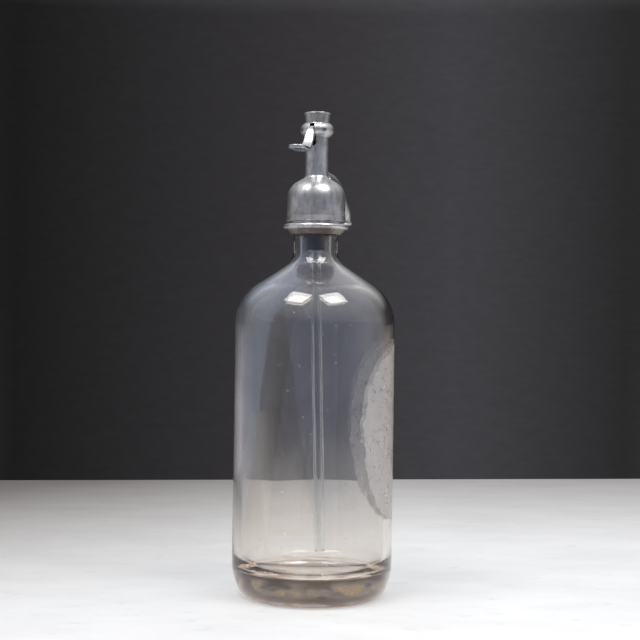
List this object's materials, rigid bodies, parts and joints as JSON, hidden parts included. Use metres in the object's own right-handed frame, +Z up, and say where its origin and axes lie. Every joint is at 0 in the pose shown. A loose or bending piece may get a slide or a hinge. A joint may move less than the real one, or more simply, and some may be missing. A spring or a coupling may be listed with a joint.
{
  "type": "soda siphon",
  "caption": "Thick glass soda bottle with a cast metal head, curved spout, thumb lever and a sprung valve fed by a dip tube.",
  "frame": {"origin": "centre of the bottle's foot, on the plane it stands on", "axes": "+Z up along the bottle's axis, +X towards the spout, -X towards the lever"},
  "size_m": [0.1112, 0.1, 0.3017],
  "materials": {
    "glass": "clear, mould blown, worn",
    "tube_glass": "clear drawn glass tube",
    "pewter": "cast and polished white metal, tarnished",
    "collar_metal": "turned white metal, tarnished",
    "tin": "dull tin",
    "brass": "turned brass",
    "steel": "drawn steel",
    "rubber": "moulded rubber",
    "leather": "cut leather"
  },
  "bodies": {
    "base": {"glass_bottle": "glass", "collar_liner": "rubber", "neck_gasket": "rubber", "head": "pewter", "spout": "pewter", "dip_tube": "tube_glass", "tube_grommet": "rubber", "tube_ferrule": "tin", "valve_seat": "brass", "stem_packing": "leather", "gland_nut": "brass", "plunger_spring": "steel", "spring_seat": "steel", "top_cap": "pewter", "lever_pin": "steel", "collar_half_a": "collar_metal", "collar_half_b": "collar_metal"},
    "lever": {"lever": "pewter"},
    "plunger": {"plunger": "brass", "valve_washer": "rubber", "washer_screw": "brass"}
  },
  "joints": [
    {"name": "lever_press", "type": "hinge", "parent": "base", "child": "lever", "pos_m": [-0.0072, 0, 0.2902], "axis": [0, -1, 0], "range_deg": [0, 16]},
    {"name": "plunger_lift", "type": "slide", "parent": "base", "child": "plunger", "axis": [0, 0, 1], "range_m": [0, 0.00168], "stiffness_N_per_m": 150, "springref_m": -0.006, "deforming": ["plunger_spring"]}
  ],
  "couplings": [
    {"joint": "lever_press", "follows": "plunger_lift", "rad_per_m": 166.67}
  ]
}
